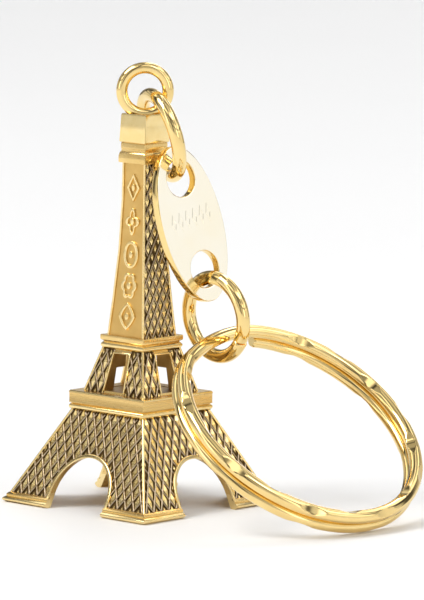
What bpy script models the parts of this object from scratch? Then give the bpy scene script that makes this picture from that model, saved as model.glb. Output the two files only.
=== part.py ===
"""A souvenir keychain: a lattice tower charm, two cut jump rings, an oval tag and a split ring.

The tower stands on its four feet at z = 0 with its faces square to X and Y. The eye on its cap
carries the upper jump ring, the ring carries the tag, the tag carries the lower jump ring, and that
ring holds the split ring, whose lowest point stands on the same surface. Sizes and places are in mm
from the tower's own axis, and the whole keychain is then moved to stand over the world's origin.
"""

import math

import bmesh
import bpy
from mathutils import Matrix, Vector

MM = 0.001

# Where the tower's axis stands, so that the origin is under the middle of the whole keychain.
TOWER_PLACE = (-9.40, -3.72, 0.0)

# Tower casting. Each level is (full width of the square section, height), top to bottom.
CAP_LEVELS = ((3.30, 39.25), (3.58, 36.40), (3.24, 36.40), (3.24, 35.50), (3.68, 35.50), (3.68, 34.35))
SHAFT_LEVELS = ((3.16, 34.35), (3.20, 30.70), (3.57, 25.70), (4.34, 20.70), (5.00, 17.05))
UPPER_GALLERY_LEVELS = ((5.92, 17.05), (5.92, 16.70), (5.60, 16.30), (5.72, 16.20), (5.72, 15.75))
MIDDLE_STAGE_LEVELS = ((5.63, 15.70), (8.30, 11.40))
LOWER_GALLERY_LEVELS = ((10.26, 11.40), (10.26, 10.16), (10.00, 10.08), (10.00, 9.55))
LOWER_STAGE_LEVELS = ((9.84, 9.45), (18.50, 1.05))
FOOT_LEVELS = ((19.00, 0.95), (19.60, 0.85), (19.60, 0.0))

# Hollows as (full width, height) levels, low to high. The lower one starts just under the feet.
LOWER_HOLLOW = ((18.14, -0.20), (8.90, 9.00))
MIDDLE_HOLLOW = ((5.30, 11.55), (4.80, 13.80))
ARCH_HALF_WIDTH = 3.80
ARCH_SPRING = 1.45
WINDOW_SILL = (1.30, 11.60)
WINDOW_HEAD = (1.03, 15.30)
ARCH_STEPS = 20
CUT_PAST = 4.0

# Eye ring, standing on the cap across its diagonal and sunk into it.
EYE_CENTRE = (0.0, 0.0, 41.50)
EYE_RADIUS = 2.30
EYE_WIRE = 1.15
EYE_HEADING = -45.0
EYE_SEAT_GAP = 0.05

# Jump rings: centreline radius, wire diameter and the cut's width.
JUMP_WIRE = 1.40
JUMP_CUT = 0.16
UPPER_RING_RADIUS = 4.20
UPPER_RING_CENTRE = (0.80, 1.61, 37.02)
UPPER_RING_AXIS = (64.4, 15.0)
UPPER_RING_CUT_ANGLE = 95.0
LOWER_RING_RADIUS = 4.00
LOWER_RING_CENTRE = (6.57, 3.77, 19.13)
LOWER_RING_AXIS = (84.8, 5.6)
LOWER_RING_CUT_ANGLE = -59.0
RING_STEPS = 60

# Oval tag, with a round hole near each end.
TAG_LENGTH = 16.0
TAG_WIDTH = 8.10
TAG_THICKNESS = 0.90
TAG_HOLE = 3.70
TAG_HOLE_SPACING = 9.40
TAG_CENTRE = (4.09, 2.45, 28.33)
TAG_AXIS = (-5.5, 10.4)
TAG_SPIN = 11.8
OVAL_STEPS = 72
HOLE_STEPS = 40

# Split ring: one flattened wire in two turns, with one crossing between its ends.
SPLIT_RADIUS = 12.69
SPLIT_WIRE = 1.40
SPLIT_FLATTEN = 0.90
SPLIT_TURN_GAP = 0.04
SPLIT_CENTRE = (17.63, 3.86, 9.24)
SPLIT_AXIS = (-6.3, 51.1)
SPLIT_UPPER_END = 219.0
SPLIT_LOWER_END = 168.0
SPLIT_STEP_ANGLE = 7.0
WIRE_BEVEL_RESOLUTION = 2

# Where each jump ring carries the next piece, as an angle round the ring's centreline.
TAG_HANG_ANGLE = -46.5
SPLIT_HANG_ANGLE = -17.0

GOLD = (0.83, 0.60, 0.24, 1.0)
SHADED_GOLD = (0.69, 0.50, 0.22, 1.0)
PALE_GOLD = (0.93, 0.84, 0.60, 1.0)

DIAGONAL = math.sqrt(0.5)
SQUARE_TURN = math.radians(45)


def clear_scene():
    """Removes the start-up objects."""
    for stray in list(bpy.data.objects):
        bpy.data.objects.remove(stray, do_unlink=True)


def collection(name):
    """A new collection in the scene."""
    made = bpy.data.collections.new(name)
    bpy.context.scene.collection.children.link(made)
    return made


def metal(name, colour, roughness):
    """A metal surface of one colour."""
    material = bpy.data.materials.new(name)
    material.use_nodes = True
    shader = material.node_tree.nodes["Principled BSDF"]
    shader.inputs["Base Color"].default_value = colour
    shader.inputs["Metallic"].default_value = 1.0
    shader.inputs["Roughness"].default_value = roughness
    return material


def as_cutter(obj, cutters):
    """Keeps an object as a Boolean's tool only."""
    obj.display_type = "WIRE"
    obj.hide_render = True
    cutters.objects.link(obj)
    return obj


def axis_frame(centre, axis, spin=0.0):
    """A frame at a centre in mm whose local Z has a heading and an elevation, and whose local X points down."""
    heading, elevation = axis
    turn = Matrix.Rotation(math.radians(heading), 4, "Z")
    tilt = Matrix.Rotation(math.radians(90 - elevation), 4, "Y")
    own = Matrix.Rotation(math.radians(spin), 4, "Z")
    return Matrix.Translation(Vector(centre) * MM) @ turn @ tilt @ own


def pivot(name, frame, point, parts, parent):
    """An empty at a joint, at a point in mm in a piece's own frame, carried by the piece before it."""
    empty = bpy.data.objects.new(name, None)
    empty.location = frame @ (Vector(point) * MM)
    empty.empty_display_size = 2 * MM
    parts.objects.link(empty)
    carry(empty, parent)
    return empty


def round_the_ring(radius, angle):
    """A point on a ring's centreline, in its own frame."""
    return (radius * math.cos(math.radians(angle)), radius * math.sin(math.radians(angle)), 0.0)


def carry(child, parent):
    """Parents a piece and leaves it where it is."""
    bpy.context.view_layer.update()
    child.parent = parent
    child.matrix_parent_inverse = parent.matrix_world.inverted()


def circle_points(radius, steps, centre_x=0.0):
    """Points round a circle in a flat outline."""
    angles = [math.tau * i / steps for i in range(steps)]
    return [(centre_x + radius * math.cos(a), radius * math.sin(a)) for a in angles]


def flat_outline(name, outlines, half_depth):
    """A filled flat curve in local XY with thickness along local Z. Sizes are in mm."""
    curve = bpy.data.curves.new(name, "CURVE")
    curve.dimensions = "2D"
    curve.fill_mode = "BOTH"
    curve.extrude = half_depth * MM
    for outline in outlines:
        spline = curve.splines.new("POLY")
        spline.points.add(len(outline) - 1)
        spline.use_cyclic_u = True
        for point, (x, y) in zip(spline.points, outline):
            point.co = (x * MM, y * MM, 0.0, 1.0)
    return bpy.data.objects.new(name, curve)


def meshed(obj):
    """A curve object's shape as a closed mesh object in the same place."""
    holder = bpy.context.scene.collection
    holder.objects.link(obj)
    evaluated = obj.evaluated_get(bpy.context.evaluated_depsgraph_get())
    mesh = bpy.data.meshes.new_from_object(evaluated)
    shape = bmesh.new()
    shape.from_mesh(mesh)
    bmesh.ops.remove_doubles(shape, verts=shape.verts, dist=1e-6)
    bmesh.ops.recalc_face_normals(shape, faces=shape.faces)
    shape.to_mesh(mesh)
    shape.free()
    solid = bpy.data.objects.new(obj.name, mesh)
    solid.matrix_world = obj.matrix_world
    bpy.data.objects.remove(obj)
    return solid


def wire(name, points, diameter, parts, material):
    """A round wire with cut ends through points in mm."""
    curve = bpy.data.curves.new(name, "CURVE")
    curve.dimensions = "3D"
    curve.twist_mode = "Z_UP"
    curve.bevel_depth = diameter / 2 * MM
    curve.bevel_resolution = WIRE_BEVEL_RESOLUTION
    curve.use_fill_caps = True
    spline = curve.splines.new("POLY")
    spline.points.add(len(points) - 1)
    for spline_point, point in zip(spline.points, points):
        spline_point.co = (*(Vector(point) * MM), 1.0)
    curve.materials.append(material)
    obj = bpy.data.objects.new(name, curve)
    parts.objects.link(obj)
    return obj


def subtract(obj, cutter):
    """Cuts one solid out of another."""
    modifier = obj.modifiers.new("cut_" + cutter.name, "BOOLEAN")
    modifier.operation = "DIFFERENCE"
    modifier.solver = "EXACT"
    modifier.object = cutter


def square_hollow(name, levels, cutters):
    """A four-sided tapered core between two (width, height) levels."""
    (low_width, low), (high_width, high) = levels
    shape = bmesh.new()
    bmesh.ops.create_cone(
        shape,
        cap_ends=True,
        segments=4,
        radius1=low_width * DIAGONAL * MM,
        radius2=high_width * DIAGONAL * MM,
        depth=(high - low) * MM,
        matrix=Matrix.Translation((0, 0, (low + high) / 2 * MM)) @ Matrix.Rotation(SQUARE_TURN, 4, "Z"),
    )
    mesh = bpy.data.meshes.new(name)
    shape.to_mesh(mesh)
    shape.free()
    return as_cutter(bpy.data.objects.new(name, mesh), cutters)


def tunnel(name, outline, heading, cutters):
    """An outline of (across, up) points pushed through the tower along Y, then turned."""
    obj = flat_outline(name, [outline], FOOT_LEVELS[0][0] / 2 + CUT_PAST)
    obj.matrix_world = Matrix.Rotation(math.radians(heading), 4, "Z") @ Matrix.Rotation(math.radians(90), 4, "X")
    return as_cutter(meshed(obj), cutters)


def arch_outline():
    """An arch's opening: straight legs below its springing, a half circle above."""
    arc = [math.pi * i / ARCH_STEPS for i in range(ARCH_STEPS + 1)]
    crown = [(ARCH_HALF_WIDTH * math.cos(a), ARCH_SPRING + ARCH_HALF_WIDTH * math.sin(a)) for a in arc]
    return [(ARCH_HALF_WIDTH, -CUT_PAST)] + crown + [(-ARCH_HALF_WIDTH, -CUT_PAST)]


def window_outline():
    """A middle stage window: a trapezium that narrows upwards."""
    (sill, low), (head, high) = WINDOW_SILL, WINDOW_HEAD
    return [(sill, low), (head, high), (-head, high), (-sill, low)]


def eye_torus(name, wire_diameter):
    """The eye's round ring, in place."""
    bpy.ops.mesh.primitive_torus_add(
        major_radius=EYE_RADIUS * MM,
        minor_radius=wire_diameter / 2 * MM,
        major_segments=48,
        minor_segments=12,
        location=Vector(EYE_CENTRE) * MM,
        rotation=(math.radians(90), 0, math.radians(EYE_HEADING + 90)),
    )
    obj = bpy.context.object
    obj.name = name
    for owner in list(obj.users_collection):
        owner.objects.unlink(obj)
    return obj


def tower_casting(parts, cutters, material):
    """The one-piece die casting: feet, arches, galleries, shaft and cap, hollow below and in the middle."""
    levels = (
        CAP_LEVELS
        + SHAFT_LEVELS
        + UPPER_GALLERY_LEVELS
        + MIDDLE_STAGE_LEVELS
        + LOWER_GALLERY_LEVELS
        + LOWER_STAGE_LEVELS
        + FOOT_LEVELS
    )
    profile = [(0.0, levels[0][1])] + [(w * DIAGONAL, z) for w, z in levels] + [(0.0, levels[-1][1])]
    mesh = bpy.data.meshes.new("tower_casting")
    verts = [(x * MM, 0.0, z * MM) for x, z in profile]
    mesh.from_pydata(verts, [(i, i + 1) for i in range(len(verts) - 1)], [])
    obj = bpy.data.objects.new("tower_casting", mesh)
    obj.rotation_euler.z = SQUARE_TURN
    parts.objects.link(obj)
    turned = obj.modifiers.new("square_turning", "SCREW")
    turned.axis = "Z"
    turned.steps = 4
    turned.render_steps = 4
    turned.use_merge_vertices = True
    turned.merge_threshold = 1e-6
    turned.use_smooth_shade = False
    subtract(obj, square_hollow("lower_hollow", LOWER_HOLLOW, cutters))
    subtract(obj, square_hollow("middle_hollow", MIDDLE_HOLLOW, cutters))
    for heading in (0, 90):
        subtract(obj, tunnel(f"arch_{heading}", arch_outline(), heading, cutters))
        subtract(obj, tunnel(f"window_{heading}", window_outline(), heading, cutters))
    subtract(obj, as_cutter(eye_torus("eye_seat", EYE_WIRE + 2 * EYE_SEAT_GAP), cutters))
    mesh.materials.append(material)
    return obj


def eye_ring(parts, material):
    """The closed ring on the cap that the chain hangs from."""
    obj = eye_torus("eye_ring", EYE_WIRE)
    parts.objects.link(obj)
    obj.data.shade_smooth()
    obj.data.materials.append(material)
    return obj


def jump_ring(name, radius, centre, axis, cut_angle, parts, material):
    """A round ring of wire with one cut across it."""
    half_cut = math.degrees(JUMP_CUT / 2 / radius)
    sweep = 360 - 2 * half_cut
    angles = [math.radians(cut_angle + half_cut + sweep * i / RING_STEPS) for i in range(RING_STEPS + 1)]
    points = [(radius * math.cos(a), radius * math.sin(a), 0.0) for a in angles]
    obj = wire(name, points, JUMP_WIRE, parts, material)
    obj.matrix_world = axis_frame(centre, axis)
    return obj


def oval_tag(parts, material):
    """The flat oval plate with its two holes."""
    oval = [(TAG_LENGTH / 2 * x, TAG_WIDTH / 2 * y) for x, y in circle_points(1.0, OVAL_STEPS)]
    holes = [circle_points(TAG_HOLE / 2, HOLE_STEPS, end * TAG_HOLE_SPACING / 2) for end in (-1, 1)]
    obj = flat_outline("oval_tag", [oval] + holes, TAG_THICKNESS / 2)
    obj.matrix_world = axis_frame(TAG_CENTRE, TAG_AXIS, TAG_SPIN)
    obj.data.materials.append(material)
    parts.objects.link(obj)
    return obj


def smooth_step(x):
    """0 to 1 with flat ends."""
    x = min(max(x, 0.0), 1.0)
    return x * x * (3 - 2 * x)


def split_ring(parts, material):
    """Two turns of flattened wire: the upper turn, one crossing, then the lower turn."""
    pitch = SPLIT_WIRE + SPLIT_TURN_GAP / SPLIT_FLATTEN
    crossing = SPLIT_LOWER_END + 360
    landed = SPLIT_UPPER_END + 360
    sweep = SPLIT_LOWER_END + 720 - SPLIT_UPPER_END
    steps = round(sweep / SPLIT_STEP_ANGLE)
    points = []
    for i in range(steps + 1):
        angle = SPLIT_UPPER_END + sweep * i / steps
        fall = smooth_step((angle - crossing) / (landed - crossing))
        a = math.radians(angle)
        points.append((SPLIT_RADIUS * math.cos(a), SPLIT_RADIUS * math.sin(a), pitch * (0.5 - fall)))
    obj = wire("split_ring", points, SPLIT_WIRE, parts, material)
    obj.matrix_world = axis_frame(SPLIT_CENTRE, SPLIT_AXIS) @ Matrix.Diagonal((1, 1, SPLIT_FLATTEN, 1))
    return obj


def main():
    """Builds the keychain and its chain of pivots."""
    clear_scene()
    parts = collection("lattice_tower_keychain")
    cutters = collection("cutters")
    cast_gold = metal("cast_gold", SHADED_GOLD, 0.30)
    wire_gold = metal("wire_gold", GOLD, 0.12)
    tag_gold = metal("tag_gold", PALE_GOLD, 0.10)

    tower = tower_casting(parts, cutters, cast_gold)
    eye = eye_ring(parts, wire_gold)
    carry(eye, tower)

    eye_axis = pivot("eye_axis", Matrix.Translation(Vector(EYE_CENTRE) * MM), (0, 0, 0), parts, tower)
    upper = jump_ring(
        "upper_jump_ring",
        UPPER_RING_RADIUS,
        UPPER_RING_CENTRE,
        UPPER_RING_AXIS,
        UPPER_RING_CUT_ANGLE,
        parts,
        wire_gold,
    )
    carry(upper, eye_axis)

    hang = round_the_ring(UPPER_RING_RADIUS, TAG_HANG_ANGLE)
    tag_axis = pivot("tag_axis", upper.matrix_world, hang, parts, upper)
    tag = oval_tag(parts, tag_gold)
    carry(tag, tag_axis)

    rim_middle = ((TAG_HOLE_SPACING + TAG_HOLE + TAG_LENGTH) / 4, 0.0, 0.0)
    lower_axis = pivot("lower_ring_axis", tag.matrix_world, rim_middle, parts, tag)
    lower = jump_ring(
        "lower_jump_ring",
        LOWER_RING_RADIUS,
        LOWER_RING_CENTRE,
        LOWER_RING_AXIS,
        LOWER_RING_CUT_ANGLE,
        parts,
        wire_gold,
    )
    carry(lower, lower_axis)

    hold = round_the_ring(LOWER_RING_RADIUS, SPLIT_HANG_ANGLE)
    split_axis = pivot("split_ring_axis", lower.matrix_world, hold, parts, lower)
    carry(split_ring(parts, wire_gold), split_axis)

    for cutter in cutters.objects:
        carry(cutter, tower)
    tower.location = Vector(TOWER_PLACE) * MM


main()
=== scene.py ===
"""The finished look of a gold souvenir keychain.

It is a lattice tower charm on a chain of two jump rings, an oval tag and a split ring. Sizes are
in mm from the tower's own axis, on the surface that it stands on. Each class makes one
sub-assembly at its place, dresses it, and hands over its pieces.
"""

from __future__ import annotations

import logging
import math
from dataclasses import dataclass
from enum import Enum
from typing import Callable, Iterable, Sequence

import bmesh
import bpy
import numpy as np
from mathutils import Matrix, Vector

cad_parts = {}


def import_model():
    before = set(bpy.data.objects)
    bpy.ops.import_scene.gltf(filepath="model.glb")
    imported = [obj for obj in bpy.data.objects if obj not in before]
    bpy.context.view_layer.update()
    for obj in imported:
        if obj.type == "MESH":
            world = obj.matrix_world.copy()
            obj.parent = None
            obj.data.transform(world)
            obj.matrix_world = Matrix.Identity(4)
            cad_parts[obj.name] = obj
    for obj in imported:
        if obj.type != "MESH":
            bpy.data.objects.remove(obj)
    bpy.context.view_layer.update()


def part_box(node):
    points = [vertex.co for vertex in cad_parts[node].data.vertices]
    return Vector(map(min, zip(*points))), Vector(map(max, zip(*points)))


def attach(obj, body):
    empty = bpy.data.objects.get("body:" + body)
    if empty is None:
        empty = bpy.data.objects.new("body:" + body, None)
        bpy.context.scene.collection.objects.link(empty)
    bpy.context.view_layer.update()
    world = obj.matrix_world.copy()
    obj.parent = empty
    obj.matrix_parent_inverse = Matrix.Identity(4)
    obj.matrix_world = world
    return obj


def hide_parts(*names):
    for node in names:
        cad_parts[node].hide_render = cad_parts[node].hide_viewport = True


logging.basicConfig(level=logging.INFO, format="%(name)s: %(message)s")
LOG = logging.getLogger("keychain")

MM = 0.001

Point2 = tuple[float, float]
Point3 = tuple[float, float, float]
Colour = tuple[float, float, float]
Object = bpy.types.Object
Material = bpy.types.Material
Socket = bpy.types.NodeSocket
Node = bpy.types.Node
Tree = bpy.types.NodeTree


class Slot(Enum):
    """The record's material slots."""

    CAST = "cast_gold"
    WIRE = "wire_gold"
    TAG = "tag_gold"


class Body(Enum):
    """The bodies that pieces ride on."""

    TOWER = "tower"
    UPPER_RING = "upper_ring"
    TAG = "tag"
    LOWER_RING = "lower_ring"
    KEYRING = "keyring"


# ---------------------------------------------------------------- mesh helpers


def link(obj: Object) -> Object:
    """Links an object to the scene and returns it."""
    bpy.context.scene.collection.objects.link(obj)
    return obj


def mesh_object(
    name: str, verts: Iterable[Sequence[float]], faces: Iterable[Sequence[int]]
) -> Object:
    """A mesh object from points and faces.

    Args:
        name: The object's name.
        verts: Points in metres.
        faces: Corner indices of each face.

    Returns:
        The linked object.
    """
    mesh = bpy.data.meshes.new(name)
    mesh.from_pydata([tuple(v) for v in verts], [], [tuple(f) for f in faces])
    mesh.update()
    return link(bpy.data.objects.new(name, mesh))


def baked(obj: Object, name: str | None = None) -> Object:
    """Turns an object with modifiers, or a curve, into a plain mesh object at the origin.

    Args:
        obj: The live object, which is removed.
        name: The new object's name, or None to keep the old one.

    Returns:
        The plain mesh object with its place in its mesh.
    """
    bpy.context.view_layer.update()
    evaluated = obj.evaluated_get(bpy.context.evaluated_depsgraph_get())
    mesh = bpy.data.meshes.new_from_object(evaluated)
    mesh.transform(obj.matrix_world)
    wanted = name or obj.name
    bpy.data.objects.remove(obj)
    mesh.name = wanted
    return link(bpy.data.objects.new(wanted, mesh))


def welded(obj: Object, distance: float = 1e-7) -> Object:
    """Merges an object's doubled points and turns its faces outwards.

    Args:
        obj: The mesh object.
        distance: How near doubled points are, in metres.

    Returns:
        The same object.
    """
    shape = bmesh.new()
    shape.from_mesh(obj.data)
    bmesh.ops.remove_doubles(shape, verts=shape.verts, dist=distance)
    bmesh.ops.recalc_face_normals(shape, faces=shape.faces)
    shape.to_mesh(obj.data)
    shape.free()
    return obj


def shaded(obj: Object, angle: float) -> Object:
    """Shades an object smooth, with edges sharper than an angle in degrees kept sharp."""
    obj.data.shade_smooth()
    obj.data.set_sharp_from_angle(angle=math.radians(angle))
    return obj


def dressed(obj: Object, *materials: Material) -> Object:
    """Gives an object its materials in place of any that it has."""
    obj.data.materials.clear()
    for material in materials:
        obj.data.materials.append(material)
    return obj


def joined(name: str, parts: Sequence[Object]) -> Object:
    """Joins mesh objects at the origin into one, keeping their material slots.

    Args:
        name: The joined object's name.
        parts: The objects, which are removed.

    Returns:
        The joined object.
    """
    with bpy.context.temp_override(
        active_object=parts[0], selected_objects=list(parts), selected_editable_objects=list(parts)
    ):
        bpy.ops.object.join()
    parts[0].name = name
    parts[0].data.name = name
    return parts[0]


def four_ways(part: Object, turns: Sequence[int] = (0, 1, 2, 3)) -> list[Object]:
    """Copies of a part turned about the tower's axis by quarter turns.

    Args:
        part: The part on the tower's front face, which becomes the first copy.
        turns: How many quarter turns each copy takes.

    Returns:
        The turned parts.
    """
    made = []
    for turn in turns:
        copy = link(bpy.data.objects.new(f"{part.name}_{turn}", part.data.copy()))
        copy.data.transform(Matrix.Rotation(math.pi / 2 * turn, 4, "Z"))
        made.append(copy)
    bpy.data.objects.remove(part)
    return made


def flat_shape(
    name: str, outlines: Sequence[Sequence[Point2]], half_depth: float, edge: float = 0.0
) -> Object:
    """A filled outline with thickness and rounded edges, in local XY, as a mesh object in metres.

    Args:
        name: The object's name.
        outlines: Closed outlines in mm, holes among them.
        half_depth: Half of the whole thickness in mm.
        edge: The edge rounding's radius in mm.

    Returns:
        The closed mesh object, centred on local Z = 0.
    """
    curve = bpy.data.curves.new(name, "CURVE")
    curve.dimensions = "2D"
    curve.fill_mode = "BOTH"
    curve.extrude = (half_depth - edge) * MM
    curve.bevel_depth = edge * MM
    curve.bevel_resolution = 3
    curve.offset = -edge * MM
    for outline in outlines:
        spline = curve.splines.new("POLY")
        spline.points.add(len(outline) - 1)
        spline.use_cyclic_u = True
        for point, (x, y) in zip(spline.points, outline):
            point.co = (x * MM, y * MM, 0.0, 1.0)
    return welded(baked(link(bpy.data.objects.new(name, curve))))

def ellipse(half: Point2, steps: int, centre: Point2 = (0.0, 0.0)) -> list[Point2]:
    """An ellipse's outline from its two half sizes."""
    return [
        (centre[0] + half[0] * math.cos(a), centre[1] + half[1] * math.sin(a))
        for a in np.linspace(0, math.tau, steps, endpoint=False)
    ]


def lofted(name: str, rings: Sequence[Sequence[Point3]]) -> Object:
    """A closed solid through rings that have the same number of corners.

    Args:
        name: The object's name.
        rings: Each ring's corners in mm, from the lowest ring to the highest.

    Returns:
        The mesh object in metres.
    """
    count = len(rings[0])
    top = count * (len(rings) - 1)
    faces = [(i + j, i + (j + 1) % count, i + count + (j + 1) % count, i + count + j)
             for i in range(0, top, count) for j in range(count)]
    faces += [tuple(reversed(range(count))), tuple(range(top, top + count))]
    return mesh_object(name, np.array(rings).reshape(-1, 3) * MM, faces)


def round_section(sides: int) -> np.ndarray:
    """A circle of radius 1 with a given number of sides, as sides by 2."""
    turn = np.linspace(0, math.tau, sides, endpoint=False)
    return np.stack((np.cos(turn), np.sin(turn)), axis=1)


def wire_radii(along: np.ndarray, wire: float, rounding: float) -> np.ndarray:
    """A wire's radius at each step, with the edges of its two ends rounded.

    Args:
        along: Each step's distance from the nearer end in mm.
        wire: The wire's thickness in mm.
        rounding: The rounding's radius in mm.

    Returns:
        The radii in mm.
    """
    shortfall = np.clip(rounding - along, 0, rounding)
    return wire / 2 - (rounding - np.sqrt(np.maximum(rounding**2 - shortfall**2, 0)))


def rod(name: str, points: Sequence[Point3], radius: float, sides: int) -> Object:
    """A round bar with closed ends.

    Args:
        name: The object's name.
        points: The bar's way in mm, which is nowhere quite upright.
        radius: Its radius in mm.
        sides: How many sides its section has.

    Returns:
        The mesh object in metres.
    """
    path = np.array(points, float)
    tangents = np.gradient(path, axis=0)
    tangents /= np.linalg.norm(tangents, axis=1)[:, None]
    side = np.cross(tangents, (0.0, 0.0, 1.0))
    side /= np.linalg.norm(side, axis=1)[:, None]
    sections = np.repeat((round_section(sides) * radius)[None], len(path), axis=0)
    return tube(name, path, side, np.cross(side, tangents), sections)


def tube(
    name: str,
    path: np.ndarray,
    across: np.ndarray,
    up: np.ndarray,
    sections: np.ndarray,
    closed: bool = False,
) -> Object:
    """A swept solid whose section may change along its way.

    Args:
        name: The object's name.
        path: Centre points in mm, one for each step.
        across: The section's first direction at each step.
        up: The section's second direction at each step.
        sections: Section points in mm, as steps by sides by 2.
        closed: Whether the last step meets the first.

    Returns:
        The closed mesh object in metres.
    """
    steps, sides = sections.shape[:2]
    points = path[:, None] + sections[..., :1] * across[:, None] + sections[..., 1:] * up[:, None]
    faces = []
    for i in range(steps if closed else steps - 1):
        here, there = i * sides, (i + 1) % steps * sides
        for j in range(sides):
            k = (j + 1) % sides
            faces.append((here + j, here + k, there + k, there + j))
    if not closed:
        faces.append(tuple(range(sides)))
        faces.append(tuple(range((steps - 1) * sides, steps * sides)))
    obj = mesh_object(name, points.reshape(-1, 3) * MM, faces)
    return welded(obj, 1e-9)

# ---------------------------------------------------------------- nodes


def wired(tree: Tree, node: Node, **inputs: object) -> Node:
    """Sets a node's inputs, or links them from other nodes.

    Args:
        tree: The tree that the node is in.
        node: The node.
        inputs: Values or sockets by input name, with underscores for spaces, or by place as n0, n1.

    Returns:
        The same node.
    """
    for key, value in inputs.items():
        place = int(key[1:]) if key[0] == "n" and key[1:].isdigit() else key.replace("_", " ")
        if isinstance(value, Socket):
            tree.links.new(value, node.inputs[place])
        else:
            node.inputs[place].default_value = value
    return node


def add_node(
    tree: Tree, kind: str, settings: dict[str, object] | None = None, **inputs: object
) -> Node:
    """Adds a node to a tree.

    Args:
        tree: The tree.
        kind: The node's type.
        settings: Its own properties.
        inputs: Its inputs, as wired takes them.

    Returns:
        The node.
    """
    made = tree.nodes.new(kind)
    for key, value in (settings or {}).items():
        setattr(made, key, value)
    return wired(tree, made, **inputs)


def colour_ramp(tree: Tree, share: Socket, stops: Sequence[tuple[float, Colour]]) -> Socket:
    """A colour that changes along a value.

    Args:
        tree: The tree.
        share: The value, from 0 to 1.
        stops: (position, colour) from low to high.

    Returns:
        The colour.
    """
    made = add_node(tree, "ShaderNodeValToRGB", Fac=share)
    elements = made.color_ramp.elements
    for element, (position, colour) in zip(elements, (stops[0], stops[-1])):
        element.position, element.color = position, (*colour, 1.0)
    for position, colour in stops[1:-1]:
        elements.new(position).color = (*colour, 1.0)
    return made.outputs["Color"]


def grey_ramp(tree: Tree, share: Socket, stops: Sequence[Point2]) -> Socket:
    """A grey that changes along a value, by (position, brightness) stops."""
    return colour_ramp(tree, share, [(position, (value,) * 3) for position, value in stops])


# ---------------------------------------------------------------- finishes


@dataclass(frozen=True)
class MetalFinish:
    """A plated metal whose tone, gloss and surface grain wander over it.

    Patches of tone and the grain have their sizes in mm. Gloss is the roughness from low to high.
    """

    name: str
    colour: Colour
    deep_colour: Colour
    gloss: Point2
    patch_size: float
    grain_size: float
    grain_depth: float
    stretch: Point3 = (1.0, 1.0, 1.0)
    patch_detail: float = 4.0
    patch_range: Point2 = (0.35, 0.65)
    grain_detail: float = 2.0
    grain_range: Point2 = (0.3, 0.7)

    def build(self) -> Material:
        """Builds the material's nodes on Object coordinates.

        Returns:
            The material.
        """
        material = bpy.data.materials.new(self.name)
        material.use_nodes = True
        tree = material.node_tree
        place = add_node(tree, "ShaderNodeTexCoord").outputs["Object"]
        turned = add_node(tree, "ShaderNodeMapping", Scale=self.stretch, Vector=place).outputs["Vector"]

        def noise(size: float, detail: float) -> Socket:
            """A noise whose pattern has a size in mm."""
            scale = 1.0 / (size * MM)
            made = add_node(tree, "ShaderNodeTexNoise", Scale=scale, Detail=detail, Vector=turned)
            return made.outputs["Fac"]

        low, high = self.patch_range
        patches = noise(self.patch_size, self.patch_detail)
        tone = colour_ramp(tree, patches, ((low, self.deep_colour), (high, self.colour)))
        grain = noise(self.grain_size, self.grain_detail)
        gloss = add_node(
            tree,
            "ShaderNodeMapRange",
            Value=grain,
            From_Min=self.grain_range[0],
            From_Max=self.grain_range[1],
            To_Min=self.gloss[0],
            To_Max=self.gloss[1],
        )
        bump = add_node(tree, "ShaderNodeBump", Strength=1.0, Distance=self.grain_depth * MM, Height=grain)
        wired(
            tree,
            tree.nodes["Principled BSDF"],
            Metallic=1.0,
            Base_Color=tone,
            Roughness=gloss.outputs["Result"],
            Normal=bump.outputs["Normal"],
        )
        return material


METALS = {
    "cast": MetalFinish(
        "cast_gold_satin", (0.86, 0.62, 0.26), (0.78, 0.54, 0.20), (0.20, 0.28), 3.0, 0.35, 0.0004
    ),
    # Paler, glossier gold for the mouldings, ribs, borders, ornaments and cap: partly their polished high
    # points, partly a painted highlight.
    "rim": MetalFinish(
        "cast_gold_polish_and_highlight", (0.96, 0.76, 0.38), (0.90, 0.68, 0.30), (0.12, 0.22), 2.0, 0.30, 0.0005
    ),
    "field": MetalFinish(
        "cast_gold_field", (0.72, 0.47, 0.16), (0.65, 0.41, 0.13), (0.28, 0.40), 2.0, 0.12, 0.0012
    ),
    "frieze": MetalFinish(
        "cast_gold_brushed",
        (0.84, 0.59, 0.24),
        (0.74, 0.50, 0.18),
        (0.22, 0.32),
        1.6,
        0.20,
        0.0012,
        stretch=(0.05, 0.05, 1.0),
    ),
    # Darker gold for faces deep inside the middle stage's hollow, behind the windows: painted shade.
    "reveal_shade": MetalFinish(
        "window_painted_shade", (0.52, 0.33, 0.11), (0.38, 0.23, 0.07), (0.32, 0.45), 2.0, 0.20, 0.0015
    ),
    "recess": MetalFinish(
        "recess_patina", (0.14, 0.085, 0.03), (0.05, 0.03, 0.01), (0.35, 0.55), 0.6, 0.10, 0.004
    ),
    "bars": MetalFinish(
        "lattice_bars", (0.66, 0.53, 0.37), (0.42, 0.32, 0.20), (0.28, 0.42), 0.4, 0.08, 0.002
    ),
    "lozenge": MetalFinish(
        "lozenge_gold", (0.97, 0.77, 0.38), (0.84, 0.60, 0.22), (0.16, 0.30), 0.7, 0.15, 0.001
    ),
    "wire": MetalFinish(
        "wire_gold_polish", (0.92, 0.70, 0.31), (0.88, 0.65, 0.27), (0.05, 0.11), 3.0, 0.50, 0.0004
    ),
    # The tag's flat faces: polished gold paled almost to white, partly a painted reflection of the bright
    # studio.
    "tag": MetalFinish(
        "tag_gold_and_painted_reflection", (1.00, 0.95, 0.81), (1.00, 0.93, 0.75), (0.10, 0.12), 5.0, 1.20, 0.00002
    ),
}
# The built materials, by the same names.
FINISHES: dict[str, Material] = {}


# ---------------------------------------------------------------- links of the chain


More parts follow.
